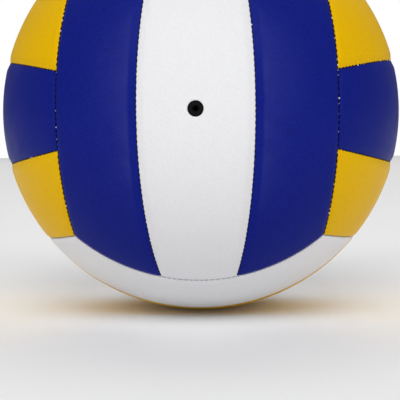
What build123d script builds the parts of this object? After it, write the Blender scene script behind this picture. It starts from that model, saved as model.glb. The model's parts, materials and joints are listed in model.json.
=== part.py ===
"""Stitched indoor volleyball: eighteen cover panels over foam, a rubber bladder and a needle valve.

The ball has six faces, like a cube blown up to a sphere. Each face is three parallel strips, and the
strips of neighbouring faces run at right angles. Every panel is a tray: a skin that follows the sphere,
an edge that rolls over at the seam, and a flange turned inwards that is sewn to its neighbour's flange.

Frame: origin at the ball's centre, +Z up, valve on the -Y side. Units are millimetres and degrees.
"""

from build123d import *
import math
import os

# Ball and panel layout
BALL_RADIUS = 105.0  # crown of the panels: 210 mm across, 660 mm round
STRIP_ANGLE = 14.8  # longitude of the seam between a middle and an outer strip, halfway along it
STRIP_END_ANGLE = 15.75  # longitude of the same seam at its ends
EDGE_ANGLE = 38.8  # longitude of an outer strip's free edge, halfway along it

# Cover panels
SKIN_THICKNESS = 1.5
INNER_ROLL_RADIUS = 0.5  # inside of the bend where the skin rolls over at a seam
FLANGE_THICKNESS = 1.2  # seam allowance turned inwards
FLANGE_LIP = 0.2  # how far the flange reaches past the foam
SEAM_GAP = 0.2  # between the two flanges of a seam

# Foam backing
FOAM_THICKNESS = 3.1
FOAM_CLEARANCE = 0.2  # to the skin and the flanges around it

# Seam thread
THREAD_DIAMETER = 0.6
THREAD_CLEARANCE = 0.05  # to the rolled edges on both sides
THREAD_END_CLEARANCE = 0.8  # to the thread of the seam that it runs into

# Bladder
BLADDER_WALL = 1.0
BLADDER_CLEARANCE = 0.2  # to the flanges' inner edges

# Valve boss, moulded on the bladder, and the plug pressed into it
VALVE_HOLE_DIAMETER = 7.2  # hole in the front middle panel
VALVE_RECESS = 0.7  # boss face below the ball's crown
BOSS_FLANGE_DIAMETER = 26.0
BOSS_FLANGE_THICKNESS = 1.6
BOSS_SLEEVE_DIAMETER = 11.0
BOSS_SLEEVE_LENGTH = 12.0  # inwards from the bladder
BOSS_CLEARANCE = 0.1  # to the bladder and the panel's hole
BOSS_RIM_RADIUS = 0.5
PLUG_DIAMETER = 5.2
PLUG_CLEARANCE = 0.05
PLUG_TAIL = 1.5  # how far the plug reaches past the sleeve
PLUG_TIP = 4.0  # closed rubber under the needle bore, where the sealing slit is
BEAD_DIAMETER = 6.8  # locking ring round the plug
BEAD_HEIGHT = 2.4
BEAD_SETBACK = 5.5  # middle of the bead from the sleeve's inner end
NEEDLE_BORE_DIAMETER = 2.0
NEEDLE_FUNNEL_DIAMETER = 3.2
NEEDLE_FUNNEL_DEPTH = 1.0

# Lengths that follow from those above
SKIN_INNER_RADIUS = BALL_RADIUS - SKIN_THICKNESS
FOAM_OUTER_RADIUS = SKIN_INNER_RADIUS - FOAM_CLEARANCE
FOAM_INNER_RADIUS = FOAM_OUTER_RADIUS - FOAM_THICKNESS
FLANGE_INNER_RADIUS = FOAM_INNER_RADIUS - FLANGE_LIP
ROLL_RADIUS = INNER_ROLL_RADIUS + SKIN_THICKNESS
BLADDER_RADIUS = FLANGE_INNER_RADIUS - BLADDER_CLEARANCE
BOSS_FACE = BALL_RADIUS - VALVE_RECESS
BOSS_SEAT_RADIUS = BLADDER_RADIUS + BOSS_CLEARANCE
SLEEVE_END = BLADDER_RADIUS - BOSS_SLEEVE_LENGTH
CUTTER_REACH = 1.2 * BALL_RADIUS  # cutters pass the ball's surface

# Six faces: outward direction, and the direction across its strips, from the first strip to the last
FACES = {
    "front": ((0, -1, 0), (1, 0, 0), ("left", "middle", "right")),
    "back": ((0, 1, 0), (-1, 0, 0), ("right", "middle", "left")),
    "left": ((-1, 0, 0), (0, 0, 1), ("bottom", "middle", "top")),
    "right": ((1, 0, 0), (0, 0, 1), ("bottom", "middle", "top")),
    "top": ((0, 0, 1), (0, 1, 0), ("front", "middle", "back")),
    "bottom": ((0, 0, -1), (0, 1, 0), ("front", "middle", "back")),
}
VALVE_FACE = "front"


def face_plane(face):
    """Frame of a face: X across its strips, Y along them, Z outwards, origin at the ball's centre."""
    outward, across, _ = FACES[face]
    return Plane(origin=(0, 0, 0), x_dir=across, z_dir=outward)


def angle_of(distance):
    """Angle in degrees that a distance along the ball's surface spans at its centre."""
    return math.degrees(distance / BALL_RADIUS)


def direction(longitude, latitude):
    """Unit vector in the frame of a face, whose strips lie side by side in longitude."""
    turn = math.radians(longitude)
    rise = math.radians(latitude)
    return Vector(math.cos(rise) * math.sin(turn), math.sin(rise), math.cos(rise) * math.cos(turn))


class Seam:
    """Bowed seam in the frame of a face: a circle on the sphere, on a cone from the ball's centre.

    It crosses the face's middle line at the longitude middle, and ends at the direction end and at its
    mirror image. The cone has an axis (across, outward) and a half angle, and the seam turns about that
    axis by half_turn from its middle to its end.
    """

    def __init__(self, middle, end):
        bow = direction(middle, 0) - Vector(end.X, 0, end.Z)
        self.across = bow.Z / bow.length
        self.outward = -bow.X / bow.length
        self.angle = math.degrees(math.acos(self.across * end.X + self.outward * end.Z))
        self.half_turn = math.degrees(math.atan2(end.Y, self.across * end.Z - self.outward * end.X))

    def axis(self, side):
        """Axis of the cone on one side of the face."""
        return Vector(side * self.across, 0, self.outward)

    def radial(self, side):
        """Direction from the axis to the seam's middle on one side of the face."""
        return Vector(-side * self.outward, 0, self.across)

    def wall(self, side, past):
        """Flat plane of the seam's circle on one side of the face, moved some way along the axis."""
        height = BALL_RADIUS * math.cos(math.radians(self.angle)) + past
        return Plane(self.axis(side) * height, x_dir=self.radial(side), z_dir=self.axis(side))


FREE_EDGE = Seam(EDGE_ANGLE, Vector(1, 1, 1).normalized())


def strip_end_latitude(longitude):
    """Latitude, along a strip, of the next face's free edge, where the strip ends."""
    along = FREE_EDGE.across * math.cos(math.radians(longitude))
    reach = math.hypot(along, FREE_EDGE.outward)
    offset = math.cos(math.radians(FREE_EDGE.angle))
    return math.degrees(math.acos(offset / reach) + math.atan2(FREE_EDGE.outward, along))


STRIP_SEAM = Seam(STRIP_ANGLE, direction(STRIP_END_ANGLE, strip_end_latitude(STRIP_END_ANGLE)))


def cone_cutter(axis, radial, angle, outer, apex=0.0):
    """Solid cone that meets a sphere of radius outer in the circle at an angle from the cone's axis.

    Its apex lies at the ball's centre, or a little further up its axis. The line where its surface
    closes on itself points away from the strip that it cuts.
    """
    circle_radius = outer * math.sin(math.radians(angle))
    circle_height = outer * math.cos(math.radians(angle)) - apex
    cone = Cone(
        bottom_radius=0,
        top_radius=CUTTER_REACH * circle_radius / circle_height,
        height=CUTTER_REACH,
        align=(Align.CENTER, Align.CENTER, Align.MIN),
    )
    return Plane(axis * apex, x_dir=-radial, z_dir=axis) * cone


def shell_segment(first, last, inner, outer):
    """Piece of a spherical shell between two longitudes, like an orange segment with its ends cut off."""
    reach = 70  # latitude past every strip's end
    with BuildSketch(Plane.YZ) as profile:
        with BuildLine():
            outer_arc = CenterArc((0, 0), outer, 90 - reach, 2 * reach)
            inner_arc = CenterArc((0, 0), inner, 90 - reach, 2 * reach)
            Line(outer_arc @ 0, inner_arc @ 0)
            Line(outer_arc @ 1, inner_arc @ 1)
        make_face()
    segment = revolve(profile.sketch, axis=Axis.Y, revolution_arc=last - first)
    return Rot(0, first, 0) * segment


def strip_solid(outer_strip, inset, inner, outer, roll):
    """Strip of shell in the frame of its face, inset from its seams, with its outer edges rounded.

    A middle strip lies about the face's centre line. An outer strip lies on the +X side and ends at
    the bowed edge of the face. The walls between strips are flat, and the others are cones.
    """
    past_edge = 60  # longitude past every free edge
    edge_apex = 0.3  # keeps the free edge's cone from sharing its apex with the cones of the ends
    turn = angle_of(inset)
    if outer_strip:
        solid = shell_segment(0, past_edge, inner, outer)
        solid = split(solid, STRIP_SEAM.wall(1, inset), keep=Keep.TOP)
        edge_angle = FREE_EDGE.angle + turn
        solid -= cone_cutter(FREE_EDGE.axis(1), FREE_EDGE.radial(1), edge_angle, outer, edge_apex)
    else:
        solid = shell_segment(-EDGE_ANGLE, EDGE_ANGLE, inner, outer)
        for side in (1, -1):
            solid = split(solid, STRIP_SEAM.wall(side, -inset), keep=Keep.BOTTOM)
    for side in (1, -1):
        end_axis = Vector(0, side * FREE_EDGE.outward, FREE_EDGE.across)
        end_radial = Vector(0, side * FREE_EDGE.across, -FREE_EDGE.outward)
        solid = solid & cone_cutter(end_axis, end_radial, FREE_EDGE.angle - turn, outer)
    crown = [
        edge
        for edge in solid.edges()
        if all(abs((edge @ share).length - outer) < 0.001 for share in (0.0, 0.5, 1.0))
    ]
    return fillet(crown, roll)


def cover_panel(outer_strip):
    """Tray-shaped cover panel: skin, rolled edges and flanges turned inwards."""
    wall = SEAM_GAP / 2
    inset = wall + FLANGE_THICKNESS
    past_flange = FLANGE_INNER_RADIUS - ROLL_RADIUS
    body = strip_solid(outer_strip, wall, FLANGE_INNER_RADIUS, BALL_RADIUS, ROLL_RADIUS)
    cavity = strip_solid(outer_strip, inset, past_flange, SKIN_INNER_RADIUS, INNER_ROLL_RADIUS)
    return body - cavity


def foam_pad(outer_strip):
    """Foam sheet that fills the tray of a cover panel."""
    inset = SEAM_GAP / 2 + FLANGE_THICKNESS + FOAM_CLEARANCE
    return strip_solid(outer_strip, inset, FOAM_INNER_RADIUS, FOAM_OUTER_RADIUS, INNER_ROLL_RADIUS)


def round_rod(diameter, low, high):
    """Cylinder about Z between two heights."""
    rod = Cylinder(diameter / 2, high - low, align=(Align.CENTER, Align.CENTER, Align.MIN))
    return Pos(0, 0, low) * rod


def bladder():
    """Inflated rubber bladder with the hole that the valve boss passes through."""
    shell = Sphere(BLADDER_RADIUS) - Sphere(BLADDER_RADIUS - BLADDER_WALL)
    hole = round_rod(BOSS_SLEEVE_DIAMETER + 2 * BOSS_CLEARANCE, SLEEVE_END, BALL_RADIUS)
    return shell - hole


def plug_shape(clearance):
    """Outside of the valve plug, or with no clearance the bore that it sits in."""
    stem = round_rod(PLUG_DIAMETER - 2 * clearance, SLEEVE_END - PLUG_TAIL, BOSS_FACE)
    bead_middle = SLEEVE_END + BEAD_SETBACK
    bead_half = BEAD_HEIGHT / 2 - clearance
    bead = round_rod(BEAD_DIAMETER - 2 * clearance, bead_middle - bead_half, bead_middle + bead_half)
    return stem + bead


def valve_boss():
    """Rubber boss: a flange on the bladder, a neck up to the panel's hole and a sleeve inwards."""
    flange = Sphere(BOSS_SEAT_RADIUS + BOSS_FLANGE_THICKNESS) - Sphere(BOSS_SEAT_RADIUS)
    flange = flange & round_rod(BOSS_FLANGE_DIAMETER, SLEEVE_END, BALL_RADIUS)
    neck = round_rod(VALVE_HOLE_DIAMETER - 2 * BOSS_CLEARANCE, BLADDER_RADIUS, BOSS_FACE)
    neck = fillet(neck.edges().filter_by(GeomType.CIRCLE).sort_by(Axis.Z)[-1], BOSS_RIM_RADIUS)
    sleeve_top = BOSS_SEAT_RADIUS + BOSS_FLANGE_THICKNESS / 2
    sleeve = round_rod(BOSS_SLEEVE_DIAMETER, SLEEVE_END, sleeve_top)
    return flange + neck + sleeve - plug_shape(0)


def valve_plug():
    """Push-in plug with a locking bead and a blind needle bore that opens in a funnel."""
    bore_end = SLEEVE_END - PLUG_TAIL + PLUG_TIP
    bore = round_rod(NEEDLE_BORE_DIAMETER, bore_end, BOSS_FACE)
    funnel = Cone(
        bottom_radius=NEEDLE_BORE_DIAMETER / 2,
        top_radius=NEEDLE_FUNNEL_DIAMETER / 2,
        height=NEEDLE_FUNNEL_DEPTH,
        align=(Align.CENTER, Align.CENTER, Align.MAX),
    )
    return plug_shape(PLUG_CLEARANCE) - bore - Pos(0, 0, BOSS_FACE) * funnel


def thread_radius():
    """Distance of a seam thread from the ball's centre: it lies in the groove on both rolled edges."""
    across = ROLL_RADIUS + SEAM_GAP / 2
    reach = ROLL_RADIUS + THREAD_DIAMETER / 2 + THREAD_CLEARANCE
    return BALL_RADIUS - ROLL_RADIUS + math.sqrt(reach**2 - across**2)


def seam_thread(seam, side):
    """Round thread along a seam, in the frame of the face and on one side of it."""
    cone = math.radians(seam.angle)
    half_turn = seam.half_turn - angle_of(THREAD_DIAMETER + THREAD_END_CLEARANCE) / math.sin(cone)
    section = Plane.XZ * Pos(thread_radius() * math.sin(cone), 0, 0) * Circle(THREAD_DIAMETER / 2)
    run = revolve(section, axis=Axis.Z, revolution_arc=2 * half_turn)
    below_crown = (thread_radius() - BALL_RADIUS) * math.cos(cone)
    return seam.wall(side, below_crown) * Rot(0, 0, -half_turn) * run


def build():
    """All pieces of the ball by name, each in its place."""
    panels = {"middle": cover_panel(False), "outer": cover_panel(True)}
    foams = {"middle": foam_pad(False), "outer": foam_pad(True)}
    valve_hole = round_rod(VALVE_HOLE_DIAMETER, SLEEVE_END, CUTTER_REACH)
    boss_pocket = round_rod(BOSS_FLANGE_DIAMETER + 2 * FOAM_CLEARANCE, SLEEVE_END, CUTTER_REACH)
    pieces = {}
    for face, (_, _, strips) in FACES.items():
        plane = face_plane(face)
        for side, strip in zip((-1, 0, 1), strips):
            kind = "outer" if side else "middle"
            panel, foam = panels[kind], foams[kind]
            if face == VALVE_FACE and not side:
                panel, foam = panel - valve_hole, foam - boss_pocket
            turn = Rot(0, 0, 180 if side < 0 else 0)
            pieces[f"{face}_{strip}_panel"] = plane * turn * panel
            pieces[f"{face}_{strip}_foam"] = plane * turn * foam
            if side:
                pieces[f"{face}_{strip}_edge_thread"] = plane * seam_thread(FREE_EDGE, side)
        strip_threads = [seam_thread(STRIP_SEAM, side) for side in (-1, 1)]
        pieces[f"{face}_strip_threads"] = plane * Compound(children=strip_threads)
    valve_plane = face_plane(VALVE_FACE)
    pieces["bladder"] = valve_plane * bladder()
    pieces["valve_boss"] = valve_plane * valve_boss()
    pieces["valve_plug"] = valve_plane * valve_plug()
    return pieces


def main():
    os.makedirs("parts", exist_ok=True)
    for name, piece in build().items():
        export_step(piece, f"parts/{name}.step")


main()
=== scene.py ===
import json
import math

import bpy
import numpy as np
from mathutils import Matrix


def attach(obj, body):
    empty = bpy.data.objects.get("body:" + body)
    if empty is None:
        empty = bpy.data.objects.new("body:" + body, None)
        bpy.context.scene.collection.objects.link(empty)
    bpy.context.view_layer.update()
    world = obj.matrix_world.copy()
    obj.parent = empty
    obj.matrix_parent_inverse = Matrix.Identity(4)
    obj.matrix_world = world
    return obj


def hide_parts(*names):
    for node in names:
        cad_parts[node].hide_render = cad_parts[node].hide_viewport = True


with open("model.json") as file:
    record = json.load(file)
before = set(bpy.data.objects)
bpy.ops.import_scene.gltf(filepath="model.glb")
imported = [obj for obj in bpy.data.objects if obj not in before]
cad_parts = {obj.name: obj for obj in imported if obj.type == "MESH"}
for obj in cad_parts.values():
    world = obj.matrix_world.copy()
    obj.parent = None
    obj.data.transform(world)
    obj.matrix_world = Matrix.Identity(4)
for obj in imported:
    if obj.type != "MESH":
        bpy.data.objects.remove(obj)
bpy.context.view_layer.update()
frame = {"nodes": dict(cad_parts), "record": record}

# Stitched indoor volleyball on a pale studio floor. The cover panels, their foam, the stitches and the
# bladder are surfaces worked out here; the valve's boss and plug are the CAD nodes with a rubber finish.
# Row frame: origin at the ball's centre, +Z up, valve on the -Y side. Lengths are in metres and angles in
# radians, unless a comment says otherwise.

MM = 0.001

# The ball, as the CAD model has it
REST_POINT = next(m for m in frame["record"]["mounts"] if m["name"] == "rest_point")
BALL_RADIUS = -REST_POINT["pos_m"][2]
STRIP_ANGLE = math.radians(14.8)  # longitude of the seam between two strips, halfway along it
STRIP_END_ANGLE = math.radians(15.75)  # longitude of the same seam at its ends
EDGE_ANGLE = math.radians(38.8)  # longitude of a face's free edge, halfway along it
SKIN_THICKNESS = 1.5 * MM
FLANGE_THICKNESS = 1.2 * MM
FLANGE_DEPTH = 5.0 * MM  # from the crown down to the flange's inner edge
FOAM_DEPTH = 4.8 * MM  # from the crown down to the foam's inner face
FOAM_CLEARANCE = 0.2 * MM
VALVE_HOLE_RADIUS = 3.6 * MM
FOAM_POCKET_RADIUS = 13.2 * MM  # room in the foam for the valve's flange
BLADDER_RADIUS = 99.8 * MM
BLADDER_WALL = 1.0 * MM
BLADDER_HOLE_RADIUS = 5.6 * MM

# How the inflated panels swell between their seams, and press together there
SEAM_GAP = 0.06 * MM
INNER_ROLL_RADIUS = 0.5 * MM
STRIP_BEVEL_FALL = 0.9 * MM  # from the foam's edge down to a strip seam
STRIP_BEVEL_WIDTH = 3.7 * MM
STRIP_TURN_RADIUS = 0.7 * MM  # turn of the skin into that seam, between two stitches
EDGE_BEVEL_FALL = 0.55 * MM  # the same at a free edge and at a strip's end
EDGE_BEVEL_WIDTH = 2.2 * MM
EDGE_TURN_RADIUS = 0.95 * MM
TIGHTEN = 0.75  # share of the turn that a stitch takes away, where it pulls the edges together
RIDGE_RADIUS = 0.6 * MM  # how softly the skin bends over the foam's edge
VALVE_ROLL_RADIUS = 0.5 * MM
HIGHLIGHT_REACH = 6.0 * MM  # how far from the ridge the painted highlight reaches
HIGHLIGHT_HALF_LENGTH = 46.0 * MM  # how far along the seam the painted highlight reaches, from its middle

# Stitches
STITCH_PITCH = 2.6 * MM
STITCH_DIAMETER = 0.8 * MM
STITCH_REACH = 1.2 * MM  # to each side of the seam, under the skin
STRIP_STITCH_DEPTH = 0.7 * MM  # middle of the stitch below the foot of the bevel
EDGE_STITCH_DEPTH = 0.57 * MM
STITCH_ARCH = 0.9 * MM  # how much deeper its ends lie
STITCH_UNEVENNESS = 0.22 * MM  # spread of the depth from stitch to stitch
STITCH_LEAN = 0.25  # share of its reach that a stitch leans along the seam
STITCH_LEAN_SPREAD = 0.12  # spread of that share from stitch to stitch
FEED_ERROR = 0.3 * MM  # how far the machine's feed strays along the seam
FEED_WAVE = 2.7 * MM  # length along the seam for one radian of that error
FACE_SEEDS = 10  # seeds of chance that each face has for its seams
EDGE_SEED = 1
STRIP_SEED = 6

# The bladder's ridge, where the two halves of its mould met
MOULD_RIDGE_HEIGHT = 0.15 * MM
MOULD_RIDGE_WIDTH = 2.0 * MM

# Mesh density: the edge band is four times as fine as the middle of a panel
COARSE_STEP = 1.45 * MM
FINER = 4
BAND_WIDTH = 7.0 * MM
BAND_ROWS = 15
INNER_ROLL_ANGLES = np.radians([0, 30, 60, 90])
VALVE_ROLL_ANGLES = np.radians([0, 22.5, 45, 67.5, 90])
GRID_REPEATS = 24  # steps after which a strip's longitudes and latitudes agree
SEAM_SAMPLES = 4000  # points along a seam from which the places of its stitches are read
STITCH_SIDES = 8
STITCH_STATIONS = 6
BLADDER_TURNS = 128
BLADDER_ROWS = 96
SHARP_ANGLE = math.radians(50)  # faces that meet at more than this keep a hard edge

# Six faces: outward direction, direction across the strips, and the strips' names from first to last
FACES = {
    "front": ((0, -1, 0), (1, 0, 0), ("left", "middle", "right")),
    "back": ((0, 1, 0), (-1, 0, 0), ("right", "middle", "left")),
    "left": ((-1, 0, 0), (0, 0, 1), ("bottom", "middle", "top")),
    "right": ((1, 0, 0), (0, 0, 1), ("bottom", "middle", "top")),
    "top": ((0, 0, 1), (0, 1, 0), ("front", "middle", "back")),
    "bottom": ((0, 0, -1), (0, 1, 0), ("front", "middle", "back")),
}
VALVE_FACE = "front"
SIDES = (-1, 0, 1)  # of the three strips, in that order
STRIP_COLOURS = {  # colour of the outer strips and of the middle strip
    "front": ("blue", "white"),
    "back": ("blue", "white"),
    "left": ("yellow", "blue"),
    "right": ("yellow", "blue"),
    "top": ("white", "yellow"),
    "bottom": ("white", "yellow"),
}

LEATHER_COLOURS = {  # dye, valleys of the grain, painted highlight on ridges, and the seams' dirt and painted shade
    "blue": ("#111e7f", "#0b166a", "#2f3684", "#080e48"),
    "white": ("#e5e5e7", "#dfdfe2", "#e5e5e7", "#b8b8c0"),
    "yellow": ("#e4b400", "#daa900", "#e6b812", "#1e1604"),
}

# Patterns of the materials, in real sizes unless a comment says that one is drawn coarser
PEBBLE_WIDTH = 0.95 * MM  # of the leather's embossed grain
PEBBLE_HEIGHT = 0.09 * MM
VALLEYS = (0.25, 0.75)  # distances from a pebble's middle, in pebbles, between which the dye darkens
VALLEY_SHADE = 0.6  # share of the valley's colour at the deepest
WEAR_PATCH = 9.0 * MM  # patches of wear and gloss on the leather
SEAM_DIRT_AND_SHADE = (0.15, 0.65)  # groove shares at which the dirt and painted shade in a seam begin and are full
WEAR_RANGE = (0.3, 0.7)  # values of the wear's noise that stand for the smoothest and roughest leather
LEATHER_ROUGHNESS = (0.36, 0.44)
FOAM_CELL = 0.5 * MM
FOAM_CELL_DEPTH = 0.1 * MM
TWIST_LENGTH = 6.0 * MM  # makes bands about 2.2 mm apart, coarser than the twist of real thread
TWIST_HEIGHT = 0.05 * MM
BLOOM_PATCH = 4.0 * MM  # grey bloom on the rubber
RUBBER_GRIT = 0.3 * MM  # left by the blasted mould
RUBBER_GRIT_HEIGHT = 0.04 * MM
RUBBER_ROUGHNESS = 0.6
PAPER_TOOTH = 1.5 * MM  # coarser than real paper's
PAPER_TOOTH_HEIGHT = 0.05 * MM

# The photograph's frame, in pixels, and where the camera stood
PHOTO_SIZE = 400
PHOTO_BALL_RADIUS = 197.2
PHOTO_BALL_CENTRE = (200.9, 113.6)
CAMERA_DISTANCE = 5.3 * BALL_RADIUS
CAMERA_AZIMUTH = math.radians(1.3)
CAMERA_ELEVATION = math.radians(-1.24)
CAMERA_ROLL = math.radians(0.38)
SENSOR_WIDTH = 36.0  # mm

# Studio. Light is given as the share of pure white that it would make of a white surface facing it.
FLOOR_HALF_WIDTH = 4.0
AMBIENT = 0.24  # from all around
SOFTBOXES = (  # name, azimuth and elevation in degrees, distance, width and height, light
    ("left_softbox", -45, 22, 3.5, (1.2, 2.8), 0.25),
    ("right_softbox", 45, 22, 3.5, (1.2, 2.8), 0.25),
    ("key_softbox", 0, 45, 3.5, (2.0, 2.0), 0.38),
    ("background_softbox", 180, 50, 5.0, (6.0, 4.0), 0.45),
)


# Shape of the panels. A face has its own frame: across its strips, along them, and outwards.


class Seam:
    """Bowed seam: a circle on the sphere, so it lies on a cone from the ball's centre.

    It crosses the face's middle line at the longitude middle, and its ends are at the direction end and
    its mirror image. Directions are shares across the strips, along them, and outwards.
    """

    def __init__(self, middle, end):
        bow_across = math.sin(middle) - end[0]
        bow_outward = math.cos(middle) - end[2]
        length = math.hypot(bow_across, bow_outward)
        self.across, self.outward = bow_outward / length, -bow_across / length
        self.angle = math.acos(self.across * end[0] + self.outward * end[2])
        self.circle = BALL_RADIUS * math.sin(self.angle)
        self.half_length = float(self.measure(*end)[1])

    def measure(self, across, along, out):
        """Distance past the seam, away from the cone's axis, and the length along it from its middle."""
        from_axis = np.arccos(np.clip(self.across * across + self.outward * out, -1, 1))
        turn = np.arctan2(along, self.across * out - self.outward * across)
        return BALL_RADIUS * (from_axis - self.angle), self.circle * turn

    def longitude(self, latitude, turn):
        """Longitude of the seam at a latitude, or of a wall that lies an angle turn past it."""
        across_share = math.cos(self.angle + turn) / np.cos(latitude)
        return np.arcsin(across_share) - math.atan2(self.outward, self.across)

    def course(self, length, side):
        """Outward, along and across directions at lengths from the middle, on one side of the face."""
        axis = np.array([side * self.across, 0.0, self.outward])
        radial = np.array([-side * self.outward, 0.0, self.across])
        forward = np.array([0.0, 1.0, 0.0])
        turn = (length / self.circle)[:, None]
        spoke = np.cos(turn) * radial + np.sin(turn) * forward
        out = math.cos(self.angle) * axis + math.sin(self.angle) * spoke
        along = np.cos(turn) * forward - np.sin(turn) * radial
        return out, along, np.cross(out, along)


def end_latitude(longitude, turn=0.0):
    """Latitude where a strip ends on the next face's free edge, or at a wall an angle turn before it."""
    along = FREE_EDGE.across * np.cos(longitude)
    reach = np.hypot(along, FREE_EDGE.outward)
    return np.arccos(math.cos(FREE_EDGE.angle - turn) / reach) + np.arctan2(FREE_EDGE.outward, along)


def direction(longitude, latitude):
    """Unit vectors at longitudes and latitudes of a face, as shares across, along and outwards."""
    flat = np.cos(latitude)
    return np.stack([flat * np.sin(longitude), np.sin(latitude), flat * np.cos(longitude)], axis=-1)


CUBE_CORNER = (1 / math.sqrt(3),) * 3
FREE_EDGE = Seam(EDGE_ANGLE, CUBE_CORNER)
STRIP_SEAM = Seam(STRIP_ANGLE, direction(STRIP_END_ANGLE, end_latitude(STRIP_END_ANGLE)))
WALL_TURN = SEAM_GAP / 2 / BALL_RADIUS  # angle between a seam and the flange beside it


def strip_directions(a, b, outer):
    """Unit vectors of a strip's grid: a runs across it and b along it, both from -1 to 1.

    A middle strip's longitude is a times that of its seam. An outer strip's longitude runs from the strip
    seam to the free edge. The latitude is b times the latitude of the strip's end. Each of the two
    depends on the other, so both are found by repeating these steps.
    """
    latitude = b * end_latitude(STRIP_ANGLE)
    for _ in range(GRID_REPEATS):
        if outer:
            first = STRIP_SEAM.longitude(latitude, -WALL_TURN)
            last = FREE_EDGE.longitude(latitude, WALL_TURN)
            longitude = first + (a + 1) / 2 * (last - first)
        else:
            longitude = a * STRIP_SEAM.longitude(latitude, WALL_TURN)
        latitude = b * end_latitude(longitude, WALL_TURN)
    return direction(longitude, latitude)


def seam_measures(p, outer):
    """Distance to each seam of a strip, and the length along it from its middle, for unit vectors p.

    The strip seam comes first, then an outer strip's free edge, and the strip's end last.
    """
    across, along, out = p[..., 0], p[..., 1], p[..., 2]
    end_distance, end_length = FREE_EDGE.measure(out, across, np.abs(along))
    strip_distance, strip_length = STRIP_SEAM.measure(np.abs(across), along, out)
    if outer:
        edge = FREE_EDGE.measure(across, along, out)
        return [(-strip_distance, strip_length), edge, (-end_distance, end_length)]
    return [(strip_distance, strip_length), (-end_distance, end_length)]


def stitch_phase(length):
    """Turns of the stitch pattern at a length along a seam.

    It is the length, with the sine-shaped error of the sewing machine's feed, over the stitch pitch.
    """
    return (length + FEED_ERROR * np.sin(length / FEED_WAVE)) / STITCH_PITCH


def wall_distance(distance):
    """Distance from the flange's wall, for a distance from the middle of the seam."""
    return np.maximum(distance - SEAM_GAP / 2, 0)


class Rim:
    """How the skin comes down to a seam: a bevel from the foam's edge, then a turn, and stitches in it."""

    def __init__(self, fall, width, radius, stitch_depth):
        self.fall, self.width, self.radius = fall, width, radius
        self.stitch_depth = stitch_depth

    def bevel(self, wall):
        """Fall of the bevel at a distance from the flange's wall, with its upper end a hyperbola."""
        below_ridge = self.width - wall
        return self.fall * (below_ridge + np.hypot(below_ridge, RIDGE_RADIUS)) / (2 * self.width)

    def turn(self, length):
        """Radius of the turn at a length along the seam: a cosine, least at every stitch."""
        return self.radius * (1 - TIGHTEN * (0.5 + 0.5 * np.cos(2 * math.pi * stitch_phase(length))))


STRIP_RIM = Rim(STRIP_BEVEL_FALL, STRIP_BEVEL_WIDTH, STRIP_TURN_RADIUS, STRIP_STITCH_DEPTH)
EDGE_RIM = Rim(EDGE_BEVEL_FALL, EDGE_BEVEL_WIDTH, EDGE_TURN_RADIUS, EDGE_STITCH_DEPTH)
RIMS = (STRIP_RIM, EDGE_RIM, EDGE_RIM)  # in the order of seam_measures


def groove_share(p, outer):
    """How deep in a seam's turn the skin is at unit vectors p: 1 at the wall, 0 where the turn begins."""
    shares = [
        1 - wall_distance(distance) / rim.turn(length)
        for (distance, length), rim in zip(seam_measures(p, outer), RIMS)
    ]
    return np.clip(np.maximum.reduce(shares), 0, 1)


def painted_highlight_share(p, outer):
    """How far a painted highlight lightens an outer strip's dye at unit vectors p, along the ridge by the
    strip seam.

    It rises across the ridge. It fades exponentially towards the strip's other side, and along the seam
    with the fourth power of the length from its middle.
    """
    if not outer:
        return 0.0
    distance, length = seam_measures(p, outer)[0]
    past_ridge = wall_distance(distance) - STRIP_BEVEL_WIDTH
    rise = np.clip(past_ridge / RIDGE_RADIUS + 0.5, 0, 1)
    return rise * np.exp(-np.maximum(past_ridge, 0) / HIGHLIGHT_REACH - (length / HIGHLIGHT_HALF_LENGTH) ** 4)


def sink(p, outer, start=0.0, inner_radius=None):
    """How far the skin lies below the crown at unit vectors p.

    Near each seam it falls by the rim's bevel, and by a quarter circle that begins at a distance start
    from the flange's wall. The circle's radius is that of the rim's turn, or a given one on the inner side.
    The falls of the seams that meet at a corner are joined by the cube root of the sum of their cubes.
    """
    total = 0.0
    for (distance, length), rim in zip(seam_measures(p, outer), RIMS):
        wall = wall_distance(distance)
        radius = inner_radius or rim.turn(length)
        inside = np.clip(radius - (wall - start), 0, radius)
        fall = rim.bevel(wall) + radius - np.sqrt(radius**2 - inside**2)
        total = total + fall**3
    return np.cbrt(total)


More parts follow.
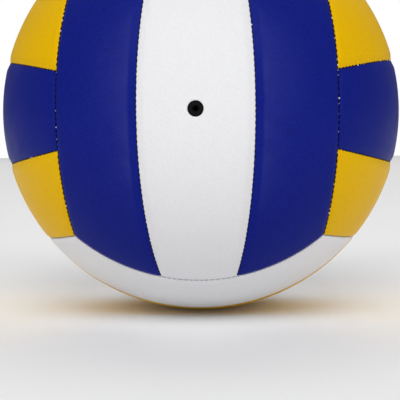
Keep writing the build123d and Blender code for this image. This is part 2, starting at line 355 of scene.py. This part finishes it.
class Surface:
    """Points and faces of one piece, collected patch by patch, with faces that point outwards."""

    def __init__(self):
        self.points, self.faces, self.count = [], [], 0
        # A groove share, 1 unless given, sets how much of the seam colour's dirt and painted shade a point
        # has.
        self.shares = {"groove": [], "painted_highlight": []}

    def place(self, directions, depth, groove=1.0, painted_highlight=0.0):
        """Adds points at unit vectors, a depth below the crown, and returns their numbers."""
        depth = np.broadcast_to(depth, directions.shape[:-1])
        numbers = self.count + np.arange(depth.size).reshape(depth.shape)
        self.points.append((directions * (BALL_RADIUS - depth)[..., None]).reshape(-1, 3))
        for name, share in (("groove", groove), ("painted_highlight", painted_highlight)):
            self.shares[name].append(np.broadcast_to(share, depth.shape).ravel())
        self.count += depth.size
        return numbers

    def patch(self, numbers, hole=None, inwards=False):
        """Squares of a grid of points, without the block of squares from hole[0] to hole[1]."""
        quads = np.stack([numbers[:-1, :-1], numbers[1:, :-1], numbers[1:, 1:], numbers[:-1, 1:]], axis=-1)
        kept = np.ones(quads.shape[:2], bool)
        if hole:
            kept[hole[0][0] : hole[1][0], hole[0][1] : hole[1][1]] = False
        quads = quads[kept]
        self.faces.append(quads[:, ::-1] if inwards else quads)

    def band(self, loop, following):
        """Squares between two closed loops with the same number of points."""
        self.faces.append(np.stack([loop, np.roll(loop, -1), np.roll(following, -1), following], axis=-1))

    def step(self, fine, coarse, widen=False):
        """Triangles from a loop to one with a quarter of its points, or back where widen is set."""
        f0, f1, f2, f3 = fine.reshape(-1, FINER).T
        f4, c0, c1 = np.roll(f0, -1), coarse, np.roll(coarse, -1)
        corners = [(f0, f1, c0), (f1, f2, c0), (f2, c1, c0), (f2, f3, c1), (f3, f4, c1)]
        triangles = np.concatenate([np.stack(corner, axis=-1) for corner in corners])
        self.faces.append(triangles[:, ::-1] if widen else triangles)


def grid_loop(numbers):
    """Border of a grid of point numbers, anticlockwise from its first corner."""
    return np.concatenate([numbers[:-1, 0], numbers[-1, :-1], numbers[:0:-1, -1], numbers[0, :0:-1]])


class Strip:
    """Grids and rings of directions on one kind of strip."""

    def __init__(self, outer):
        self.outer = outer
        half_width = (EDGE_ANGLE - STRIP_ANGLE) / 2 if outer else STRIP_ANGLE
        middle = (EDGE_ANGLE + STRIP_ANGLE) / 2 if outer else 0.0
        self.half_width = BALL_RADIUS * half_width
        self.half_length = BALL_RADIUS * float(end_latitude(middle))
        self.columns = 2 * round(self.half_width / COARSE_STEP)
        self.rows = 2 * round(self.half_length / COARSE_STEP)

    def inset(self, distance):
        """The grid's shares a and b at a distance from the flanges' walls."""
        return 1 - distance / self.half_width, 1 - distance / self.half_length

    def ring(self, distance, finer):
        """Closed ring of directions at a distance from the walls, anticlockwise from the first corner."""
        a_most, b_most = self.inset(distance)
        a = np.linspace(-1, 1, self.columns * finer + 1)[:-1]
        b = np.linspace(-1, 1, self.rows * finer + 1)[:-1]
        ones_a, ones_b = np.ones_like(a), np.ones_like(b)
        round_a = np.concatenate([a, ones_b, -a, -ones_b]) * a_most
        round_b = np.concatenate([-ones_a, b, ones_a, -b]) * b_most
        return strip_directions(round_a, round_b, self.outer)

    def grid(self, distance):
        """Grid of directions over the middle of the strip, from a distance inside the walls."""
        a_most, b_most = self.inset(distance)
        a = np.linspace(-a_most, a_most, self.columns + 1)
        b = np.linspace(-b_most, b_most, self.rows + 1)
        return strip_directions(*np.meshgrid(a, b, indexing="ij"), self.outer)

    def block(self, radius):
        """First and last square of the block round the middle that a hole of that radius needs."""
        half = math.ceil(radius / COARSE_STEP) + 1
        middle = (self.columns // 2, self.rows // 2)
        return tuple(m - half for m in middle), tuple(m + half for m in middle)


def block_loop(numbers, block):
    """Border of the block of squares that is left out of a grid."""
    (a0, b0), (a1, b1) = block
    return grid_loop(numbers[a0 : a1 + 1, b0 : b1 + 1])


def hole_ring(radius, count):
    """Circle of directions round the face's outward axis, from the corner that block loops start at."""
    first_corner = -0.75 * math.pi
    turn = 2 * math.pi * np.arange(count) / count + first_corner
    spread = radius / BALL_RADIUS
    return np.stack(
        [np.sin(spread) * np.cos(turn), np.sin(spread) * np.sin(turn), np.full(count, math.cos(spread))],
        axis=-1,
    )


def cover_panel(outer, valve):
    """Cover panel as a closed tray: skin, rolled edges, flanges turned inwards, and the inner face.

    It is a stack of rings from the inner face out over the flange's foot and up into the skin, each at a
    distance from the walls and a depth below the crown, closed by a grid on both faces.
    """
    strip, surface = Strip(outer), Surface()

    def inner_depth(p):
        return SKIN_THICKNESS + sink(p, outer, FLANGE_THICKNESS, INNER_ROLL_RADIUS)

    inner = strip.grid(BAND_WIDTH)
    inner_grid = surface.place(inner, inner_depth(inner))
    last = grid_loop(inner_grid)
    for angle in INNER_ROLL_ANGLES[::-1]:
        p = strip.ring(FLANGE_THICKNESS + INNER_ROLL_RADIUS * (1 - math.cos(angle)), 1)
        ring = surface.place(p, inner_depth(p))
        surface.band(last, ring)
        last = ring
    foot = surface.place(strip.ring(FLANGE_THICKNESS, 1), FLANGE_DEPTH)
    surface.band(last, foot)
    last = surface.place(strip.ring(0.0, FINER), FLANGE_DEPTH)
    surface.step(last, foot, widen=True)

    # The groove share gives the seams their dirt and painted shade; the ridge's share gives the painted
    # highlight.
    def skin(p):
        return surface.place(p, sink(p, outer), groove_share(p, outer), painted_highlight_share(p, outer))

    for row in range(BAND_ROWS):
        ring = skin(strip.ring(BAND_WIDTH * (row / BAND_ROWS) ** 2, FINER))
        surface.band(last, ring)
        last = ring
    outer_grid = skin(strip.grid(BAND_WIDTH))
    surface.step(last, grid_loop(outer_grid))
    block = strip.block(VALVE_HOLE_RADIUS) if valve else None
    surface.patch(outer_grid, block)
    surface.patch(inner_grid, block, inwards=True)
    if valve:
        valve_hole(surface, block_loop(outer_grid, block), block_loop(inner_grid, block))
    return surface


def valve_hole(surface, outer_loop, inner_loop):
    """Wall of the valve's hole, with the skin turned in round its rim by a quarter circle."""
    fine = outer_loop.size * FINER
    rim = VALVE_HOLE_RADIUS + VALVE_ROLL_RADIUS
    last = surface.place(hole_ring(rim + VALVE_ROLL_RADIUS, fine), 0.0, 0.0)
    surface.step(last, outer_loop, widen=True)
    for angle in VALVE_ROLL_ANGLES:
        radius = rim - VALVE_ROLL_RADIUS * math.sin(angle)
        depth = VALVE_ROLL_RADIUS * (1 - math.cos(angle))
        # Down the hole's rim the skin takes on more of the seams' dirt and painted shade.
        ring = surface.place(hole_ring(radius, fine), depth, angle / math.pi)
        surface.band(last, ring)
        last = ring
    ring = surface.place(hole_ring(VALVE_HOLE_RADIUS, fine), SKIN_THICKNESS)
    surface.band(last, ring)
    inner_ring = surface.place(hole_ring(rim, inner_loop.size), SKIN_THICKNESS)
    surface.step(ring, inner_ring)
    surface.band(inner_ring, inner_loop)


def foam_pad(outer, valve):
    """Foam pad that fills a panel's tray: a crowned face, rounded edges, and a plain inner face."""
    strip, surface = Strip(outer), Surface()
    start = FLANGE_THICKNESS + FOAM_CLEARANCE

    def crown(p):
        return surface.place(p, SKIN_THICKNESS + FOAM_CLEARANCE + sink(p, outer, start, INNER_ROLL_RADIUS))

    inner_grid = surface.place(strip.grid(BAND_WIDTH), FOAM_DEPTH)
    foot = surface.place(strip.ring(start, 1), FOAM_DEPTH)
    surface.band(grid_loop(inner_grid), foot)
    last = foot
    for angle in INNER_ROLL_ANGLES:
        ring = crown(strip.ring(start + INNER_ROLL_RADIUS * (1 - math.cos(angle)), 1))
        surface.band(last, ring)
        last = ring
    outer_grid = crown(strip.grid(BAND_WIDTH))
    surface.band(last, grid_loop(outer_grid))
    block = strip.block(FOAM_POCKET_RADIUS) if valve else None
    surface.patch(outer_grid, block)
    surface.patch(inner_grid, block, inwards=True)
    if valve:
        outer_loop, inner_loop = block_loop(outer_grid, block), block_loop(inner_grid, block)
        pocket = hole_ring(FOAM_POCKET_RADIUS, outer_loop.size)
        upper = surface.place(pocket, SKIN_THICKNESS + FOAM_CLEARANCE)
        lower = surface.place(pocket, FOAM_DEPTH)
        surface.band(outer_loop, upper)
        surface.band(upper, lower)
        surface.band(lower, inner_loop)
    return surface


# Stitches and bladder


def stitch_run(seam, side, rim, seed):
    """Short arched bars of thread across a seam, one for each turn of the stitch pattern.

    A bar's line is a parabola across the seam, deepest at its ends, which lie under the skin. A circle of
    points is carried along it. Chance gives each bar its own depth and lean.
    """
    half_length = seam.half_length - STITCH_PITCH / 2
    spread = np.linspace(-half_length, half_length, SEAM_SAMPLES)
    phase = stitch_phase(spread)
    turns = np.arange(math.ceil(phase[0]), math.floor(phase[-1]) + 1)
    lengths = np.interp(turns, phase, spread)
    chance = np.random.default_rng(seed)
    lift = chance.normal(0, STITCH_UNEVENNESS, turns.size)
    lean = chance.normal(STITCH_LEAN, STITCH_LEAN_SPREAD, turns.size)
    out, along, across = (v[:, None, None, :] for v in seam.course(lengths, side))
    t = np.linspace(-1, 1, STITCH_STATIONS)[None, :, None, None]
    turn = (2 * math.pi * np.arange(STITCH_SIDES) / STITCH_SIDES)[None, None, :, None]
    depth = rim.fall + rim.stitch_depth + STITCH_ARCH * t**2 - lift[:, None, None, None]
    line = out * (BALL_RADIUS - depth) + across * (STITCH_REACH * t)
    line = line + along * (lean[:, None, None, None] * STITCH_REACH * t)
    slope = across * STITCH_REACH - out * (2 * STITCH_ARCH * t)
    slope = slope / np.linalg.norm(slope, axis=-1, keepdims=True)
    upright = np.cross(np.broadcast_to(along, slope.shape), slope)
    points = line + STITCH_DIAMETER / 2 * (np.cos(turn) * along + np.sin(turn) * upright)
    numbers = np.arange(points[..., 0].size).reshape(points.shape[:-1])
    following = np.roll(numbers, -1, axis=2)
    quads = np.stack([numbers[:, :-1], numbers[:, 1:], following[:, 1:], following[:, :-1]], axis=-1)
    caps = [numbers[:, 0], numbers[:, -1, ::-1]]
    return points.reshape(-1, 3), [quads.reshape(-1, 4), *caps]


def bladder():
    """Rubber bladder: a circle's profile turned about the valve's axis, from the hole to the far pole.

    The outside has a low bell-shaped ridge halfway. The inside is a smaller circle, turned the other way.
    """
    start = math.asin(BLADDER_HOLE_RADIUS / BLADDER_RADIUS)
    angle = np.linspace(start, math.pi, BLADDER_ROWS)[:-1]
    past_middle = (angle - math.pi / 2) * BLADDER_RADIUS / MOULD_RIDGE_WIDTH
    ridge = MOULD_RIDGE_HEIGHT * np.exp(-(past_middle**2))
    turn = 2 * math.pi * np.arange(BLADDER_TURNS) / BLADDER_TURNS
    surface = Surface()

    def shell(radii):
        ones = np.ones(BLADDER_TURNS)
        p = np.stack(
            [
                np.sin(angle)[:, None] * np.cos(turn),
                np.sin(angle)[:, None] * np.sin(turn),
                np.cos(angle)[:, None] * ones,
            ],
            axis=-1,
        )
        return surface.place(p, BALL_RADIUS - radii[:, None] * ones)

    outside = shell(BLADDER_RADIUS + ridge)
    inside = shell(np.full(angle.size, BLADDER_RADIUS - BLADDER_WALL))
    pole = np.array([[0.0, 0.0, -1.0]])
    outer_pole = surface.place(pole, BALL_RADIUS - BLADDER_RADIUS)[0]
    inner_pole = surface.place(pole, BALL_RADIUS - BLADDER_RADIUS + BLADDER_WALL)[0]
    for row in range(angle.size - 1):
        surface.band(outside[row + 1], outside[row])
        surface.band(inside[row], inside[row + 1])
    surface.band(outside[0], inside[0])
    for ring, following, pole_number in (
        (np.roll(outside[-1], -1), outside[-1], outer_pole),
        (inside[-1], np.roll(inside[-1], -1), inner_pole),
    ):
        surface.faces.append(np.stack([ring, following, np.full(BLADDER_TURNS, pole_number)], axis=-1))
    return surface


# Materials

# Sockets of a Mix node that mixes colours: its share, its two colours, and its result
MIX_SHARE, MIX_FROM, MIX_TO, MIXED = 0, 6, 7, 2


def linear(colour):
    """Linear RGBA of an sRGB hex colour, by the curve of the sRGB standard."""
    shares = [int(colour[i : i + 2], 16) / 255 for i in (1, 3, 5)]
    return (*(s / 12.92 if s <= 0.04045 else ((s + 0.055) / 1.055) ** 2.4 for s in shares), 1.0)


def node(tree, kind, settings, inputs):
    """Adds a shader node, sets its properties, and gives its inputs values or links to sockets."""
    made = tree.nodes.new(kind)
    for name, value in settings.items():
        setattr(made, name, value)
    for name, value in inputs.items():
        if isinstance(value, bpy.types.NodeSocket):
            tree.links.new(value, made.inputs[name])
        else:
            made.inputs[name].default_value = value
    return made


def new_material(name):
    """Empty node material and its tree."""
    material = bpy.data.materials.new(name)
    material.use_nodes = True
    material.node_tree.nodes.clear()
    return material, material.node_tree


def finish_material(tree, inputs):
    """Closes a material's tree with one shader and its output."""
    shader = node(tree, "ShaderNodeBsdfPrincipled", {}, inputs)
    node(tree, "ShaderNodeOutputMaterial", {}, {"Surface": shader.outputs["BSDF"]})


def grained_leather(name, dye, valley, painted_highlight, seam):
    """Polyurethane synthetic leather, embossed with a pebble grain: satin, with soft broken highlights.

    The valleys between the pebbles are darker than the crown. The skin down in the seams is darker
    with dirt and painted shade, and a painted highlight makes the ridges by the strip seams paler.
    """
    material, tree = new_material(name)
    coordinates = node(tree, "ShaderNodeTexCoord", {}, {}).outputs["Object"]
    pebble = node(
        tree,
        "ShaderNodeTexVoronoi",
        {"feature": "SMOOTH_F1"},
        {"Vector": coordinates, "Scale": 1 / PEBBLE_WIDTH, "Smoothness": 0.4},
    ).outputs["Distance"]
    patch = node(
        tree, "ShaderNodeTexNoise", {}, {"Vector": coordinates, "Scale": 1 / WEAR_PATCH, "Detail": 3.0}
    ).outputs["Fac"]
    groove = node(tree, "ShaderNodeAttribute", {"attribute_name": "groove"}, {}).outputs["Fac"]
    depth_share = node(
        tree,
        "ShaderNodeMapRange",
        {},
        {"Value": pebble, "From Min": VALLEYS[0], "From Max": VALLEYS[1], "To Max": VALLEY_SHADE},
    ).outputs["Result"]
    grain_colour = node(
        tree,
        "ShaderNodeMix",
        {"data_type": "RGBA"},
        {MIX_SHARE: depth_share, MIX_FROM: linear(dye), MIX_TO: linear(valley)},
    ).outputs[MIXED]
    # Painted highlight: a paler colour on the ridges by the strip seams, broken up by the wear patches.
    highlight_mask = node(tree, "ShaderNodeAttribute", {"attribute_name": "painted_highlight"}, {}).outputs["Fac"]
    highlight_share = node(
        tree, "ShaderNodeMath", {"operation": "MULTIPLY"}, {0: highlight_mask, 1: patch}
    ).outputs["Value"]
    highlighted_colour = node(
        tree,
        "ShaderNodeMix",
        {"data_type": "RGBA"},
        {MIX_SHARE: highlight_share, MIX_FROM: grain_colour, MIX_TO: linear(painted_highlight)},
    ).outputs[MIXED]
    # Dirt and painted shade in the seams: the deeper the skin lies in a turn, the more of the seam colour.
    seam_dirt_and_shade_share = node(
        tree,
        "ShaderNodeMapRange",
        {"interpolation_type": "SMOOTHSTEP"},
        {"Value": groove, "From Min": SEAM_DIRT_AND_SHADE[0], "From Max": SEAM_DIRT_AND_SHADE[1]},
    ).outputs["Result"]
    colour = node(
        tree,
        "ShaderNodeMix",
        {"data_type": "RGBA"},
        {MIX_SHARE: seam_dirt_and_shade_share, MIX_FROM: highlighted_colour, MIX_TO: linear(seam)},
    ).outputs[MIXED]
    roughness = node(
        tree,
        "ShaderNodeMapRange",
        {},
        {
            "Value": patch,
            "From Min": WEAR_RANGE[0],
            "From Max": WEAR_RANGE[1],
            "To Min": LEATHER_ROUGHNESS[0],
            "To Max": LEATHER_ROUGHNESS[1],
        },
    ).outputs["Result"]
    normal = node(
        tree,
        "ShaderNodeBump",
        {"invert": True},
        {"Height": pebble, "Strength": 0.5, "Distance": PEBBLE_HEIGHT},
    ).outputs["Normal"]
    finish_material(
        tree,
        {
            "Base Color": colour,
            "Roughness": roughness,
            "Normal": normal,
            "IOR": 1.4,
            "Specular IOR Level": 0.07,
        },
    )
    return material


def closed_cell_foam(name, colour, shade):
    """Closed-cell polyethylene foam, sliced from a block: matt, with cells half a millimetre wide."""
    material, tree = new_material(name)
    coordinates = node(tree, "ShaderNodeTexCoord", {}, {}).outputs["Object"]
    cell = node(
        tree, "ShaderNodeTexVoronoi", {}, {"Vector": coordinates, "Scale": 1 / FOAM_CELL}
    ).outputs["Distance"]
    mixed = node(
        tree,
        "ShaderNodeMix",
        {"data_type": "RGBA"},
        {MIX_SHARE: cell, MIX_FROM: linear(shade), MIX_TO: linear(colour)},
    ).outputs[MIXED]
    normal = node(
        tree, "ShaderNodeBump", {}, {"Height": cell, "Strength": 0.6, "Distance": FOAM_CELL_DEPTH}
    ).outputs["Normal"]
    finish_material(tree, {"Base Color": mixed, "Roughness": 0.95, "Normal": normal})
    return material


def polyester_thread(name, colour, shade):
    """Bonded polyester thread: off-white and slightly glossy, with the shadow lines of its twist."""
    material, tree = new_material(name)
    coordinates = node(tree, "ShaderNodeTexCoord", {}, {}).outputs["Object"]
    twist = node(
        tree,
        "ShaderNodeTexWave",
        {"bands_direction": "DIAGONAL"},
        {"Vector": coordinates, "Scale": 1 / TWIST_LENGTH, "Distortion": 1.0},
    ).outputs["Fac"]
    mixed = node(
        tree,
        "ShaderNodeMix",
        {"data_type": "RGBA"},
        {MIX_SHARE: twist, MIX_FROM: linear(shade), MIX_TO: linear(colour)},
    ).outputs[MIXED]
    normal = node(
        tree, "ShaderNodeBump", {}, {"Height": twist, "Strength": 0.4, "Distance": TWIST_HEIGHT}
    ).outputs["Normal"]
    finish_material(tree, {"Base Color": mixed, "Roughness": 0.6, "Normal": normal})
    return material


def moulded_rubber(name, colour, bloom):
    """Butyl rubber from a blasted mould: near black and matt, with a faint grey bloom in patches."""
    material, tree = new_material(name)
    coordinates = node(tree, "ShaderNodeTexCoord", {}, {}).outputs["Object"]
    patch = node(
        tree, "ShaderNodeTexNoise", {}, {"Vector": coordinates, "Scale": 1 / BLOOM_PATCH, "Detail": 4.0}
    ).outputs["Fac"]
    grit = node(
        tree, "ShaderNodeTexNoise", {}, {"Vector": coordinates, "Scale": 1 / RUBBER_GRIT, "Detail": 2.0}
    ).outputs["Fac"]
    mixed = node(
        tree,
        "ShaderNodeMix",
        {"data_type": "RGBA"},
        {MIX_SHARE: patch, MIX_FROM: linear(colour), MIX_TO: linear(bloom)},
    ).outputs[MIXED]
    normal = node(
        tree, "ShaderNodeBump", {}, {"Height": grit, "Strength": 0.3, "Distance": RUBBER_GRIT_HEIGHT}
    ).outputs["Normal"]
    finish_material(
        tree,
        {
            "Base Color": mixed,
            "Roughness": RUBBER_ROUGHNESS,
            "Normal": normal,
            "Specular IOR Level": 0.1,
        },
    )
    return material


def studio_paper(name, colour):
    """Seamless white studio paper: matt, with a very slight tooth."""
    material, tree = new_material(name)
    coordinates = node(tree, "ShaderNodeTexCoord", {}, {}).outputs["Object"]
    tooth = node(
        tree, "ShaderNodeTexNoise", {}, {"Vector": coordinates, "Scale": 1 / PAPER_TOOTH}
    ).outputs["Fac"]
    normal = node(
        tree, "ShaderNodeBump", {}, {"Height": tooth, "Strength": 0.05, "Distance": PAPER_TOOTH_HEIGHT}
    ).outputs["Normal"]
    finish_material(tree, {"Base Color": linear(colour), "Roughness": 0.9, "Normal": normal})
    return material


LEATHER = {
    colour: grained_leather(f"{colour}_grained_polyurethane_leather", *shades)
    for colour, shades in LEATHER_COLOURS.items()
}
FOAM = closed_cell_foam("closed_cell_polyethylene_foam", "#d9d5c8", "#b9b4a6")
THREAD = polyester_thread("bonded_polyester_thread", "#e9e7e4", "#c2bfbc")
BLADDER_RUBBER = moulded_rubber("butyl_bladder_rubber", "#161616", "#242424")
VALVE_RUBBER = moulded_rubber("moulded_valve_rubber", "#080808", "#0e0e0e")


# Pieces


def new_piece(name, points, faces, material, node_name):
    """Makes a mesh piece that stands for a CAD node, hides that node and rides on the ball."""
    mesh = bpy.data.meshes.new(name)
    mesh.from_pydata(points.tolist(), [], [face for group in faces for face in group.tolist()])
    mesh.shade_smooth()
    mesh.set_sharp_from_angle(angle=SHARP_ANGLE)
    mesh.materials.append(material)
    piece = bpy.data.objects.new(name, mesh)
    bpy.context.scene.collection.objects.link(piece)
    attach(piece, "root")
    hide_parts(node_name)
    return piece


def face_frame(face):
    """Columns of a face's frame: across its strips, along them, and outwards."""
    outward, across = (np.array(v, float) for v in FACES[face][:2])
    return np.stack([across, np.cross(outward, across), outward], axis=1)


def surface_piece(name, surface, turn, material, node_name):
    """Turns a surface into its place on the ball and makes it a piece, with its shares as attributes."""
    points = np.concatenate(surface.points) @ turn.T
    piece = new_piece(name, points, surface.faces, material, node_name)
    for share, values in surface.shares.items():
        attribute = piece.data.attributes.new(share, "FLOAT", "POINT")
        attribute.data.foreach_set("value", np.concatenate(values))
    return piece


def stitch_piece(name, runs, turn, node_name):
    """Turns runs of stitches into their place on the ball and makes them one piece."""
    points, faces, count = [], [], 0
    for run_points, run_faces in runs:
        points.append(run_points)
        faces += [group + count for group in run_faces]
        count += len(run_points)
    new_piece(name, np.concatenate(points) @ turn.T, faces, THREAD, node_name)


def build_ball():
    """All panels, pads and stitches, face by face, then the bladder and the valve's finish.

    A kind of strip says whether it is an outer one, and whether it has the valve's hole. An outer strip is
    worked out for the last side, and half a turn about the face's outward axis puts it on the first.
    """
    kinds = [(False, False), (True, False), (False, True)]
    panels = {kind: cover_panel(*kind) for kind in kinds}
    pads = {kind: foam_pad(*kind) for kind in kinds}
    half_turn = np.diag([-1.0, -1.0, 1.0])
    for number, (face, (_, _, strips)) in enumerate(FACES.items()):
        turn = face_frame(face)
        for side, strip in zip(SIDES, strips):
            kind = (side != 0, side == 0 and face == VALVE_FACE)
            strip_turn = turn @ half_turn if side < 0 else turn
            colour = STRIP_COLOURS[face][0 if side else 1]
            label = f"{face}_{strip}"
            pad = surface_piece(f"{label}_pad", pads[kind], strip_turn, FOAM, f"{label}_foam")
            cover = surface_piece(
                f"{label}_cover",
                panels[kind],
                strip_turn,
                LEATHER[colour],
                f"{label}_panel",
            )
            if side:
                run = stitch_run(FREE_EDGE, side, EDGE_RIM, FACE_SEEDS * number + EDGE_SEED + side)
                stitch_piece(f"{label}_edge_stitches", [run], turn, f"{label}_edge_thread")
        runs = [
            stitch_run(STRIP_SEAM, side, STRIP_RIM, FACE_SEEDS * number + STRIP_SEED + side)
            for side in (-1, 1)
        ]
        stitch_piece(f"{face}_strip_stitches", runs, turn, f"{face}_strip_threads")
    surface_piece(
        "bladder_shell", bladder(), face_frame(VALVE_FACE), BLADDER_RUBBER, "bladder"
    )
    for name in ("valve_boss", "valve_plug"):
        mesh = frame["nodes"][name].data
        mesh.materials.clear()
        mesh.materials.append(VALVE_RUBBER)


# Studio


def build_floor():
    """Flat square of studio paper that the ball rests on."""
    corner = np.array([-FLOOR_HALF_WIDTH, FLOOR_HALF_WIDTH])
    x, y = np.meshgrid(corner, corner, indexing="ij")
    points = np.stack([x, y, np.full_like(x, -BALL_RADIUS)], axis=-1).reshape(-1, 3)
    mesh = bpy.data.meshes.new("studio_floor")
    mesh.from_pydata(points.tolist(), [], [(0, 2, 3, 1)])
    mesh.materials.append(studio_paper("white_studio_paper", "#fafafa"))
    floor = bpy.data.objects.new("studio_floor", mesh)
    bpy.context.scene.collection.objects.link(floor)


def softbox(name, azimuth, elevation, distance, size, share):
    """Softbox of a width and a height that faces the ball from an azimuth and an elevation in degrees.

    Its share is what a white surface that faces it would reflect, with 1 for pure white in the picture.
    """
    light = bpy.data.lights.new(name, "AREA")
    light.shape = "RECTANGLE"
    light.size, light.size_y = size
    light.energy = share * (math.pi * distance) ** 2
    lamp = bpy.data.objects.new(name, light)
    around = Matrix.Rotation(math.radians(azimuth), 4, "Z")
    tilt = Matrix.Rotation(math.radians(90 - elevation), 4, "X")
    lamp.matrix_world = around @ tilt @ Matrix.Translation((0, 0, distance))
    bpy.context.scene.collection.objects.link(lamp)


def build_light():
    """White backdrop, soft light from all around, and four softboxes.

    A tall one stands to each side, one is above the camera, and one behind the ball whitens the paper.
    """
    world = bpy.data.worlds.new("white_studio")
    world.use_nodes = True
    tree = world.node_tree
    tree.nodes.clear()
    seen = node(tree, "ShaderNodeLightPath", {}, {}).outputs["Is Camera Ray"]
    strength = node(tree, "ShaderNodeMapRange", {}, {"Value": seen, "To Min": AMBIENT, "To Max": 1.0})
    backdrop = node(
        tree,
        "ShaderNodeBackground",
        {},
        {"Color": linear("#ffffff"), "Strength": strength.outputs["Result"]},
    )
    node(tree, "ShaderNodeOutputWorld", {}, {"Surface": backdrop.outputs["Background"]})
    bpy.context.scene.world = world
    for placement in SOFTBOXES:
        softbox(*placement)
    bpy.context.scene.view_settings.view_transform = "Standard"


def build_camera():
    """Camera at the photograph's viewing angle; it looks below the ball's centre, as the photograph does.

    Seen from a distance d, a sphere of radius r has an outline of r / sqrt(d * d - r * r) focal lengths.
    """
    focal = PHOTO_BALL_RADIUS * math.sqrt((CAMERA_DISTANCE / BALL_RADIUS) ** 2 - 1)
    right = PHOTO_BALL_CENTRE[0] - PHOTO_SIZE / 2
    up = PHOTO_SIZE / 2 - PHOTO_BALL_CENTRE[1]
    data = bpy.data.cameras.new("photo_camera")
    data.sensor_width = SENSOR_WIDTH
    data.lens = focal * SENSOR_WIDTH / PHOTO_SIZE
    camera = bpy.data.objects.new("photo_camera", data)
    orbit = Matrix.Rotation(CAMERA_AZIMUTH, 4, "Z") @ Matrix.Rotation(-CAMERA_ELEVATION, 4, "X")
    stand = orbit @ Matrix.Translation((0, -CAMERA_DISTANCE, 0)) @ Matrix.Rotation(CAMERA_ROLL, 4, "Y")
    level = Matrix.Rotation(math.pi / 2, 4, "X")
    pan = Matrix.Rotation(math.atan(right / focal), 4, "Y")
    tilt = Matrix.Rotation(-math.atan(up / focal), 4, "X")
    camera.matrix_world = stand @ level @ (pan @ tilt)
    bpy.context.scene.collection.objects.link(camera)
    bpy.context.scene.camera = camera


build_ball()
build_floor()
build_light()
build_camera()
